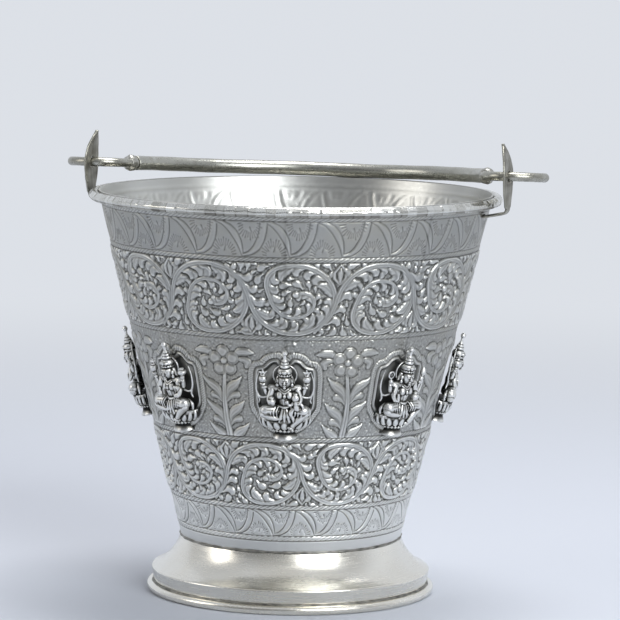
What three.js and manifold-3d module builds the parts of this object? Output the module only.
// Puja bucket: a conical pail of embossed silver-coloured sheet on a spun trumpet foot.
// A round bead closes its mouth, eight cast figures sit round its wall, and a tubular bail
// hangs by two rod rings in leaf-shaped ears.
// Millimetres, +Z up, origin at the middle of the base ring's underside, ears on the X axis.
import * as THREE from "three";
import { mergeVertices } from "three/addons/utils/BufferGeometryUtils.js";
import Module from "manifold-3d";

const wasm = await Module();
wasm.setup();

// Driving dimensions: fits
const seatGap = 0.3; // between two pieces that are soldered or rest on each other
const pivotClearance = 0.75; // between a ring's rod and the edge of its ear hole
const cutOverrun = 4; // how far a cutting tool passes the piece that it cuts

// Driving dimensions: foot
const baseRingHeight = 4.2;
const baseRingWidth = 4.9;
const baseRingStep = 3.4; // how far the base ring stands outside the band
const footSheet = 1.2;
const shoulderRadius = 67.6;
const bandTaper = 1.1; // how much narrower the band is at the base ring than at the shoulder
const shoulderHeight = 11.6;
const shoulderEdgeRadius = 0.9;
const collarRise = 5; // how far the foot's collar reaches up inside the wall

// Driving dimensions: wall, floor and rim bead
const wallSheet = 1;
const seamHeight = 27.2; // lower edge of the wall
const seamRadius = 53.5; // outer radius of the wall there
const rimRise = 164.8; // from the seam up to the middle of the rim bead
const mouthRadius = 94.8; // outer radius of the wall beside the rim bead
const lipRise = 2.2; // how far the wall reaches above the middle of the bead
const rimBeadRadius = 2.3;
const floorSheet = 1.2;

// Driving dimensions: ears
const earSheet = 1.4;
const earWidth = 19.5;
const earTipWidth = 1.6;
const earTipRise = 15.6; // tip above the hinge axis
const earBow = 3; // how far the leaf's pivot stands outside its tip
const hingeRise = 13; // hinge axis above the middle of the rim bead
const strapWidth = 6.4;
const strapCurlRadius = 2.4;

// Driving dimensions: bail
const tubeRadius = 3.6;
const rodRadius = 2.2;
const ringRadius = 14.4; // of the ring's centre line
const bailInset = 9.2; // arch radius is this much less than the rim's outer radius
const loopLandThickness = 0.5; // of a ring's rod that runs past outside the tube's mouth
const shankDepth = 9; // shank inside the tube
const solderRadius = 4.2;
const solderLength = 7;
const solderOffset = 0.7; // middle of the lump outside the shank, towards the ring's end

// Driving dimensions: figures
const figureCount = 8;
const firstFigureAngle = THREE.MathUtils.degToRad(13.2); // from the front, towards +X
const figureFootRise = 57.5; // pedestal's underside above the seam
const figureHeight = 45;
const figureWidth = 29;
const figureDepth = 7.6;

// Driving dimensions: raised work on the wall; rises are above the seam
const reliefHeight = 0.6; // of the raised work above the sheet
const reliefRoot = 0.5; // of the raised work inside the sheet
const stemWidth = 2.6;
const lowerScrollRise = 23.5; // lower edge of the scroll band under the figures
const lowerScrollHeight = 30.6;
const lowerScrollCount = 11;
const lowerScrollAngle = THREE.MathUtils.degToRad(-159.2); // of one volute's middle
const upperScrollRise = 106.5; // lower edge of the scroll band over the figures
const upperScrollHeight = 34.4;
const upperScrollCount = 13;
const upperScrollAngle = THREE.MathUtils.degToRad(-150.1);
const nicheWidth = 36.6; // outside the raised border round a figure
const nicheHeight = 41;
const nicheRise = 58.3; // underside of the border
const plantHeight = 30; // from the niches' foot to the flower's middle
const plantLeafSpan = 13;
const flowerRadius = 6.4;

// Smoothness
const roundSteps = 64; // of every turned piece
const beadSteps = 12;
const skirtSteps = 5;
const edgeSteps = 2;
const tubeSides = 12;
const tubeSteps = 30;
const ringSteps = 28;
const rodSides = 8;
const shankSteps = 4;
const curlSteps = 4;
const leafSteps = 9;
const solderSteps = 10;
const figureSteps = 8;
const voluteSteps = 9;
const flowerSteps = 8;

// Shares: the skirt's curve control, across and down from the seam to the shoulder
const skirtOutShare = 0.33;
const skirtDownShare = 0.76;
// Shares: widths of an ear's leaf from strap to tip, as [share of height, share of width]
const leafWidthShares = [
  [0, 0.46],
  [0.12, 0.66],
  [0.28, 0.89],
  [0.45, 1],
  [0.62, 0.95],
  [0.78, 0.73],
  [0.9, 0.42],
  [1, 0],
];
// Shares: a volute's stem, as [turns round its middle, share of its outer radius]
const voluteShares = [
  [0, 1.02],
  [0.25, 1],
  [0.5, 0.97],
  [0.75, 1],
  [0.9, 0.86],
  [1, 0.62],
  [1.25, 0.46],
];
const voluteTurns = 1.25;
// Shares: one side of a niche's border, as [share of half its width, share of its height]
const nicheShares = [
  [0.93, 0.27],
  [1, 0.42],
  [1, 0.63],
  [0.86, 0.82],
  [0.62, 0.95],
];
const plantLeafShares = [0.25, 0.6]; // heights of the plant's pairs of leaves
const leafLiftShare = 0.3; // rise of a leaf's tip, of the pair's span
const strapDipShare = 0.2; // fall of the strap for each unit that it runs inwards

// Derived sizes
const wallSlope = (mouthRadius - seamRadius) / rimRise;
const wallAngle = Math.atan(wallSlope);
const wallRun = wallSheet / Math.cos(wallAngle); // sheet thickness measured level
const rimHeight = seamHeight + rimRise;
const rimCentreRadius = mouthRadius + seatGap / Math.cos(wallAngle) + rimBeadRadius;
const rimOuterRadius = rimCentreRadius + rimBeadRadius;
const hingeHeight = rimHeight + hingeRise;
const floorBottom = seamHeight + collarRise + seatGap;
const bandFootRadius = shoulderRadius - bandTaper;
const baseRingRadius = bandFootRadius + baseRingStep;

const wallRadius = (z) => seamRadius + wallSlope * (z - seamHeight);
const innerRadius = (z) => wallRadius(z) - wallRun;

// Derived sizes of the bail, in its own plane: u along X, v outwards from the hinge axis
const apexAcross = rimOuterRadius - tubeRadius;
const restOffset = rimCentreRadius - apexAcross;
const restReach = rimBeadRadius + tubeRadius + seatGap;
const apexHeight = rimHeight + Math.sqrt(restReach ** 2 - restOffset ** 2);
const bailReach = Math.hypot(apexAcross, hingeHeight - apexHeight);
const bailTilt = Math.atan2(hingeHeight - apexHeight, apexAcross);
const archRadius = rimOuterRadius - bailInset;
const archCentre = bailReach - archRadius;
const centreSpan = archRadius + ringRadius;
const pivotAcross = Math.sqrt(centreSpan ** 2 - (ringRadius - archCentre) ** 2);
const tangentAngle = Math.atan2(ringRadius - archCentre, pivotAcross);
const partingReach = ringRadius + tubeRadius + seatGap + loopLandThickness - rodRadius;
const partingCosine =
  (archRadius ** 2 + centreSpan ** 2 - partingReach ** 2) / (2 * archRadius * centreSpan);
const tubeEndAngle = tangentAngle + Math.acos(partingCosine);

// Finishes
const embossed = new THREE.MeshStandardMaterial({ color: 0xb4b2a8, roughness: 0.38, metalness: 1 });
const polished = new THREE.MeshStandardMaterial({ color: 0xc6c3b6, roughness: 0.2, metalness: 1 });
const cast = new THREE.MeshStandardMaterial({ color: 0xa8a69c, roughness: 0.42, metalness: 1 });
const drawn = new THREE.MeshStandardMaterial({ color: 0xbdb9a6, roughness: 0.27, metalness: 1 });
const solder = new THREE.MeshStandardMaterial({ color: 0xa9a8a4, roughness: 0.45, metalness: 1 });

// Position-only copy of a geometry with its shared vertices merged
function welded(geometry) {
  const bare = geometry.clone();
  bare.deleteAttribute("normal");
  bare.deleteAttribute("uv");
  return mergeVertices(bare, seatGap / 1000);
}

// A closed geometry as a solid that can be joined and cut
function solidOf(geometry) {
  const bare = welded(geometry);
  const mesh = new wasm.Mesh({
    numProp: 3,
    vertProperties: new Float32Array(bare.attributes.position.array),
    triVerts: new Uint32Array(bare.index.array),
  });
  return new wasm.Manifold(mesh);
}

// A joined or cut solid as a geometry again
function geometryOf(solid) {
  const mesh = solid.getMesh();
  const geometry = new THREE.BufferGeometry();
  geometry.setAttribute("position", new THREE.BufferAttribute(mesh.vertProperties, 3));
  geometry.setIndex(new THREE.BufferAttribute(mesh.triVerts, 1));
  geometry.computeVertexNormals();
  return geometry;
}

// A closed outline of [radius, height] pairs, listed anticlockwise, turned about Z
function turned(outline, steps = roundSteps) {
  const points = [...outline, outline[0]].map(([r, z]) => new THREE.Vector2(r, z));
  const geometry = welded(new THREE.LatheGeometry(points, steps).rotateX(Math.PI / 2));
  geometry.computeVertexNormals();
  return geometry;
}

// Points of an arc about a centre, from one angle to another, ends included
function arc([cx, cy], radius, from, to, steps) {
  return Array.from({ length: steps + 1 }, (_, i) => {
    const angle = from + ((to - from) * i) / steps;
    return [cx + radius * Math.cos(angle), cy + radius * Math.sin(angle)];
  });
}

// A strip swept through stations, each with a centre, a width across and a thickness along its normal
function strip(stations) {
  const corners = [];
  stations.forEach(({ centre, across, through }) => {
    [[-1, -1], [1, -1], [1, 1], [-1, 1]].forEach(([a, t]) => {
      corners.push(centre.clone().addScaledVector(across, a / 2).addScaledVector(through, t / 2));
    });
  });
  const index = [0, 2, 1, 0, 3, 2];
  for (let s = 0; s + 1 < stations.length; s++)
    for (let c = 0; c < 4; c++) {
      const a = 4 * s + c;
      const b = 4 * s + ((c + 1) % 4);
      index.push(a, b, b + 4, a, b + 4, a + 4);
    }
  const e = 4 * (stations.length - 1);
  index.push(e, e + 1, e + 2, e, e + 2, e + 3);
  const geometry = new THREE.BufferGeometry().setFromPoints(corners);
  geometry.setIndex(index);
  geometry.computeVertexNormals();
  return geometry;
}

// A round bar along a curve that lies in the plane of u and v
function bar(curve, radius, sides, steps) {
  const section = new THREE.Shape();
  section.absarc(0, 0, radius, 0, 2 * Math.PI, false);
  return new THREE.ExtrudeGeometry(section, {
    extrudePath: curve,
    steps,
    curveSegments: sides / 2,
    bevelEnabled: false,
  });
}

// Value at a share along a table of [share, value] pairs, straight between its rows
function valueAt(table, share) {
  const next = Math.max(1, table.findIndex(([s]) => s >= share));
  const [s0, v0] = table[next - 1];
  const [s1, v1] = table[next];
  return THREE.MathUtils.lerp(v0, v1, (share - s0) / (s1 - s0));
}

function named(name, geometry, material) {
  const mesh = new THREE.Mesh(geometry, material);
  mesh.name = name;
  return mesh;
}

// Foot: half-round base ring
function baseRing() {
  const half = baseRingHeight / 2;
  const inner = baseRingRadius - baseRingWidth;
  const outline = [
    [inner, 0],
    ...arc([baseRingRadius - half, half], half, -Math.PI / 2, Math.PI / 2, beadSteps / 2),
    [inner, baseRingHeight],
  ];
  return named("base_ring", turned(outline), polished);
}

// Foot: spun skirt with its collar, its shoulder edge and the band under it
function footSkirt() {
  const collarRadius = innerRadius(seamHeight) - seatGap;
  const waist = new THREE.Vector2(seamRadius, seamHeight - seatGap);
  const brim = new THREE.Vector2(shoulderRadius - shoulderEdgeRadius, shoulderHeight);
  const control = new THREE.Vector2(
    THREE.MathUtils.lerp(waist.x, brim.x, skirtOutShare),
    THREE.MathUtils.lerp(waist.y, brim.y, skirtDownShare),
  );
  const curve = new THREE.QuadraticBezierCurve(waist, control, brim);
  const outside = curve.getPoints(skirtSteps);
  const inside = outside.map((point, i) => {
    const along = curve.getTangent(i / skirtSteps);
    return [point.x + along.y * footSheet, point.y - along.x * footSheet];
  });
  const edgeCentre = [shoulderRadius - shoulderEdgeRadius, shoulderHeight - shoulderEdgeRadius];
  const bandFoot = baseRingHeight + seatGap;
  const outline = [
    [bandFootRadius, bandFoot],
    ...arc(edgeCentre, shoulderEdgeRadius, 0, Math.PI / 2, edgeSteps),
    ...outside.toReversed().slice(1).map(({ x, y }) => [x, y]),
    [collarRadius, waist.y],
    [collarRadius, seamHeight + collarRise],
    [collarRadius - footSheet, seamHeight + collarRise],
    [collarRadius - footSheet, waist.y - footSheet],
    ...inside.filter(([r, z]) => r > collarRadius - footSheet && z < waist.y - footSheet),
    [bandFootRadius - footSheet, bandFoot],
  ];
  return named("foot_skirt", turned(outline), polished);
}

// Place on the wall's outer face, with the face's normal there
function onWall(angle, rise) {
  const turn = new THREE.Vector3(Math.sin(angle), -Math.cos(angle), 0);
  const z = seamHeight + rise;
  return {
    at: turn.clone().multiplyScalar(wallRadius(z)).setZ(z),
    normal: turn.multiplyScalar(Math.cos(wallAngle)).setZ(-Math.sin(wallAngle)),
  };
}

// Raised work: a band as wide as a stem, along [across, rise] points round a place on the wall
function raisedStem(angle, path) {
  const spots = path.map(([across, rise]) => onWall(angle + across / wallRadius(seamHeight + rise), rise));
  const stations = spots.map(({ at, normal }, i) => {
    const before = spots[Math.max(i - 1, 0)].at;
    const after = spots[Math.min(i + 1, spots.length - 1)].at;
    const along = after.clone().sub(before);
    return {
      centre: at.clone().addScaledVector(normal, (reliefHeight - reliefRoot) / 2),
      across: normal.clone().cross(along).setLength(stemWidth),
      through: normal.clone().multiplyScalar(reliefHeight + reliefRoot),
    };
  });
  return solidOf(strip(stations));
}

// Raised work: a running scroll, whose volutes turn over and under by turns
function scroll(lowRise, height, count, firstAngle) {
  const pitch = (2 * Math.PI) / count;
  const middle = lowRise + height / 2;
  const upReach = (height - stemWidth) / 2;
  const sideReach = (pitch * wallRadius(seamHeight + middle) - stemWidth) / 2;
  return Array.from({ length: count }, (_, k) => {
    const way = k % 2 ? -1 : 1;
    const path = Array.from({ length: voluteSteps + 1 }, (_, i) => {
      const turns = (voluteTurns * i) / voluteSteps;
      const reach = valueAt(voluteShares, turns);
      const turn = 2 * Math.PI * turns;
      return [-reach * sideReach * Math.cos(turn), middle - way * reach * upReach * Math.sin(turn)];
    });
    return raisedStem(firstAngle + pitch * k, path);
  });
}

// Raised work: the two sides of the border round a figure
function niche(angle) {
  const reach = (nicheWidth - stemWidth) / 2;
  return [-1, 1].map((side) =>
    raisedStem(angle, nicheShares.map(([a, h]) => [side * a * reach, nicheRise + h * nicheHeight])),
  );
}

// Raised work: a plant between two niches, with its pairs of leaves and its flower
function plant(angle) {
  const stem = raisedStem(angle, [[0, nicheRise], [0, nicheRise + plantHeight]]);
  const leaves = plantLeafShares.map((share) => {
    const foot = nicheRise + share * plantHeight;
    const tip = foot + leafLiftShare * plantLeafSpan;
    return raisedStem(angle, [[-plantLeafSpan / 2, tip], [0, foot], [plantLeafSpan / 2, tip]]);
  });
  const { at, normal } = onWall(angle, nicheRise + plantHeight);
  const thickness = reliefHeight + reliefRoot;
  const flower = new THREE.CylinderGeometry(flowerRadius, flowerRadius, thickness, flowerSteps);
  flower.applyQuaternion(new THREE.Quaternion().setFromUnitVectors(THREE.Object3D.DEFAULT_UP, normal));
  const middle = at.addScaledVector(normal, (reliefHeight - reliefRoot) / 2);
  return [stem, ...leaves, solidOf(flower.translate(middle.x, middle.y, middle.z))];
}

// Raised work: all of it, as separate solids
function raisedWork() {
  const places = Array.from({ length: figureCount }, (_, i) => i / figureCount);
  const angles = places.map((share) => firstFigureAngle + 2 * Math.PI * share);
  const between = Math.PI / figureCount;
  return [
    ...scroll(lowerScrollRise, lowerScrollHeight, lowerScrollCount, lowerScrollAngle),
    ...scroll(upperScrollRise, upperScrollHeight, upperScrollCount, upperScrollAngle),
    ...angles.flatMap((angle) => [...niche(angle), ...plant(angle + between)]),
  ];
}

// Pail: conical wall with its raised work
function bodyWall() {
  const top = rimHeight + lipRise;
  const outline = [
    [seamRadius, seamHeight],
    [wallRadius(top), top],
    [innerRadius(top), top],
    [innerRadius(seamHeight), seamHeight],
  ];
  const wall = raisedWork().reduce((joined, form) => joined.add(form), solidOf(turned(outline)));
  return named("body_wall", geometryOf(wall), embossed);
}

// Pail: flat floor, which rests on the foot's collar
function bucketFloor() {
  const top = floorBottom + floorSheet;
  const outline = [
    [0, floorBottom],
    [innerRadius(floorBottom) - seatGap, floorBottom],
    [innerRadius(top) - seatGap, top],
    [0, top],
  ];
  return named("bucket_floor", turned(outline), polished);
}

// Pail: round bead outside the mouth
function rimBead() {
  const ring = arc([rimCentreRadius, rimHeight], rimBeadRadius, 0, 2 * Math.PI, beadSteps);
  return named("rim_bead", turned(ring.slice(0, -1)), drawn);
}

// Middle line of an ear, from its seat on the wall to its tip, as [radius, height]
function earLine() {
  const dip = Math.atan(strapDipShare);
  const leafFoot = rimHeight - rimBeadRadius;
  const bowAt = (z) => pivotAcross - earBow * (Math.max(z - hingeHeight, 0) / earTipRise) ** 2;
  const lean = Math.atan2(bowAt(leafFoot + strapCurlRadius) - bowAt(leafFoot), strapCurlRadius);
  const centre = [
    bowAt(leafFoot) - strapCurlRadius * Math.cos(lean),
    leafFoot + strapCurlRadius * Math.sin(lean),
  ];
  const curl = arc(centre, strapCurlRadius, dip - Math.PI / 2, -lean, curlSteps);
  const [startAcross, startHeight] = curl[0];
  const runAt = (across) => startHeight - (startAcross - across) * strapDipShare;
  const seatAcross = wallRadius(runAt(wallRadius(startHeight))) + seatGap / Math.cos(wallAngle);
  const leaf = Array.from({ length: leafSteps }, (_, i) => {
    const z = THREE.MathUtils.lerp(leafFoot, hingeHeight + earTipRise, (i + 1) / leafSteps);
    return [bowAt(z), z];
  });
  return { strap: [[seatAcross, runAt(seatAcross)]], curl, leaf };
}

// Ears: a strap from the wall, a curl under the bead, and a bowed leaf with the pivot hole
function ear(side) {
  const { strap, curl, leaf } = earLine();
  const line = [...strap, ...curl, ...leaf];
  const bent = strap.length + curl.length;
  const stations = line.map(([r, z], i) => {
    const [r0, z0] = line[Math.max(i - 1, 0)];
    const [r1, z1] = line[Math.min(i + 1, line.length - 1)];
    const along = new THREE.Vector2(r1 - r0, z1 - z0).normalize();
    const share = Math.max(0, (i - bent + 1) / leafSteps);
    const leafWidth = Math.max(earTipWidth, earWidth * valueAt(leafWidthShares, share));
    const width = share > 0 ? leafWidth : strapWidth;
    return {
      centre: new THREE.Vector3(r, 0, z),
      across: new THREE.Vector3(0, width, 0),
      through: new THREE.Vector3(-along.y, 0, along.x).multiplyScalar(earSheet),
    };
  });
  const holeRadius = rodRadius + pivotClearance;
  const drill = new THREE.CylinderGeometry(holeRadius, holeRadius, 2 * cutOverrun, 2 * rodSides);
  drill.rotateZ(Math.PI / 2).translate(pivotAcross, 0, hingeHeight);
  const geometry = geometryOf(solidOf(strip(stations)).subtract(solidOf(drill)));
  const mesh = named(side > 0 ? "ear_right" : "ear_left", geometry, drawn);
  if (side < 0) mesh.rotation.z = Math.PI;
  return mesh;
}

// Bail: curves in the plane of u and v
class PlaneArc extends THREE.Curve {
  constructor([u, v], radius, from, to) {
    super();
    Object.assign(this, { u, v, radius, from, to });
  }
  getPoint(share, target = new THREE.Vector3()) {
    const angle = THREE.MathUtils.lerp(this.from, this.to, share);
    return target.set(
      this.u + this.radius * Math.cos(angle),
      this.v + this.radius * Math.sin(angle),
      0,
    );
  }
}

// Bail: the tube's centre line, lengthened by an overrun at both ends
function archLine(over) {
  const from = tubeEndAngle - over / archRadius;
  return new PlaneArc([0, archCentre], archRadius, from, Math.PI - from);
}

// Bail: the space that the tube takes, with its clearance
function tubeSpace() {
  return solidOf(bar(archLine(seatGap), tubeRadius + seatGap, tubeSides, tubeSteps));
}

// Bail: straight-on loop of a ring's rod, as thick as asked
function ringLoop(radius) {
  const loop = new THREE.TorusGeometry(ringRadius, radius, rodSides, ringSteps);
  return solidOf(loop.translate(pivotAcross, ringRadius, 0));
}

// Bail: a ring's shank, which runs on along the arch into the tube
function ringShank(radius) {
  const inside = tubeEndAngle + shankDepth / archRadius;
  const line = new PlaneArc([0, archCentre], archRadius, tangentAngle, inside);
  return solidOf(bar(line, radius, rodSides, shankSteps));
}

// Bail: hollow tube, bored to take the two shanks
function handleTube() {
  const outside = solidOf(bar(archLine(0), tubeRadius, tubeSides, tubeSteps));
  const bore = solidOf(bar(archLine(cutOverrun), rodRadius + seatGap, rodSides, tubeSteps));
  return named("handle_tube", geometryOf(outside.subtract(bore)), drawn);
}

// Bail: rod bent to a loop through the ear, its end cut to the tube's side
function handleRing(side) {
  const rod = ringLoop(rodRadius).subtract(tubeSpace()).add(ringShank(rodRadius));
  const mesh = named(side > 0 ? "handle_ring_right" : "handle_ring_left", geometryOf(rod), drawn);
  if (side < 0) mesh.rotation.y = Math.PI;
  return mesh;
}

// Bail: solder lump round the shank and the ring's end at the tube's mouth
function tubeSolder(side) {
  const ball = new THREE.SphereGeometry(1, solderSteps, solderSteps);
  ball.scale(solderRadius, solderLength / 2, solderRadius);
  const angle = (tangentAngle + tubeEndAngle) / 2;
  const reach = archRadius + solderOffset;
  ball.rotateZ(angle).translate(reach * Math.cos(angle), archCentre + reach * Math.sin(angle), 0);
  const lump = solidOf(ball)
    .subtract(tubeSpace())
    .subtract(ringLoop(rodRadius + seatGap))
    .subtract(ringShank(rodRadius + seatGap));
  const mesh = named(side > 0 ? "tube_solder_right" : "tube_solder_left", geometryOf(lump), solder);
  if (side < 0) mesh.rotation.y = Math.PI;
  return mesh;
}

// The bail as it lies on the back of the rim
function bail() {
  const group = new THREE.Group();
  group.add(handleTube(), handleRing(-1), handleRing(1), tubeSolder(-1), tubeSolder(1));
  group.position.z = hingeHeight;
  group.rotation.x = -bailTilt;
  return group;
}

// Forms of a seated figure, as shares of its width, depth and height: middle, then half sizes
const figureFormShares = [
  { at: [0, 0.42, 0.27], half: [0.44, 0.56, 0.08] }, // folded legs
  { at: [0, 0.36, 0.42], half: [0.23, 0.42, 0.18] }, // trunk
  { at: [0, 0.5, 0.665], half: [0.12, 0.42, 0.09] }, // head
  { at: [0.29, 0.38, 0.4], half: [0.085, 0.28, 0.16] }, // lower arms
  { at: [-0.29, 0.38, 0.4], half: [0.085, 0.28, 0.16] },
  { at: [0.37, 0.34, 0.59], half: [0.1, 0.26, 0.13] }, // raised arms
  { at: [-0.37, 0.34, 0.59], half: [0.1, 0.26, 0.13] },
];
// Pedestal and crown profiles: [share of half width, share of height]
const pedestalShares = [
  [0, 0],
  [0.42, 0],
  [0.42, 0.05],
  [0.6, 0.08],
  [0.84, 0.15],
  [0.8, 0.2],
  [0, 0.21],
];
const crownShares = [
  [0, 0.7],
  [0.26, 0.71],
  [0.25, 0.79],
  [0.15, 0.88],
  [0, 1],
];
const pedestalDepthShare = 1; // of the figure's depth
const crownDepthShare = 2.6; // of the figure's depth, for a crown as wide as the figure
const haloRadiusShare = 0.25; // of the figure's width
const haloHeightShare = 0.68;
const haloDepthShare = 0.3;

// Turned form of a figure, flattened to a share of the figure's depth
function figureTurning(shares, depthShare) {
  const points = shares.map(([r, z]) => new THREE.Vector2((r * figureWidth) / 2, z * figureHeight));
  const form = new THREE.LatheGeometry(points, 2 * figureSteps).rotateX(Math.PI / 2);
  return solidOf(form.scale(1, (2 * depthShare * figureDepth) / figureWidth, 1));
}

// One seated figure standing at the origin, its back in the plane of x and z, facing -Y
function figureForm() {
  const pedestal = figureTurning(pedestalShares, pedestalDepthShare);
  let form = pedestal.add(figureTurning(crownShares, crownDepthShare));
  figureFormShares.forEach(({ at, half }) => {
    const ball = new THREE.SphereGeometry(1, figureSteps, figureSteps / 2);
    ball.scale(half[0] * figureWidth, half[1] * figureDepth, half[2] * figureHeight);
    ball.translate(at[0] * figureWidth, -at[1] * figureDepth, at[2] * figureHeight);
    form = form.add(solidOf(ball));
  });
  const haloRadius = haloRadiusShare * figureWidth;
  const haloDepth = haloDepthShare * figureDepth;
  const halo = new THREE.CylinderGeometry(haloRadius, haloRadius, haloDepth, 2 * figureSteps);
  form = form.add(solidOf(halo.translate(0, -haloDepth / 2, haloHeightShare * figureHeight)));
  const size = 2 * (figureHeight + cutOverrun);
  const behind = new THREE.BoxGeometry(size, size, size).translate(0, size / 2, 0);
  return geometryOf(form.subtract(solidOf(behind)));
}

// Figures: equally spaced round the wall, each leaning with it
function figures() {
  const form = figureForm();
  return Array.from({ length: figureCount }, (_, i) => {
    const turn = new THREE.Group();
    const mesh = named(`figure_${i + 1}`, form, cast);
    const foot = seamHeight + figureFootRise;
    const seat = new THREE.Vector2(wallRadius(foot), foot);
    seat.add(new THREE.Vector2(Math.cos(wallAngle), -Math.sin(wallAngle)).multiplyScalar(seatGap));
    mesh.position.set(0, -seat.x, seat.y);
    mesh.rotation.x = wallAngle;
    turn.add(mesh);
    turn.rotation.z = firstFigureAngle + (2 * Math.PI * i) / figureCount;
    return turn;
  });
}

const bucket = new THREE.Group();
bucket.add(baseRing(), footSkirt(), bodyWall(), bucketFloor(), rimBead());
bucket.add(ear(-1), ear(1), ...figures(), bail());

export default bucket;
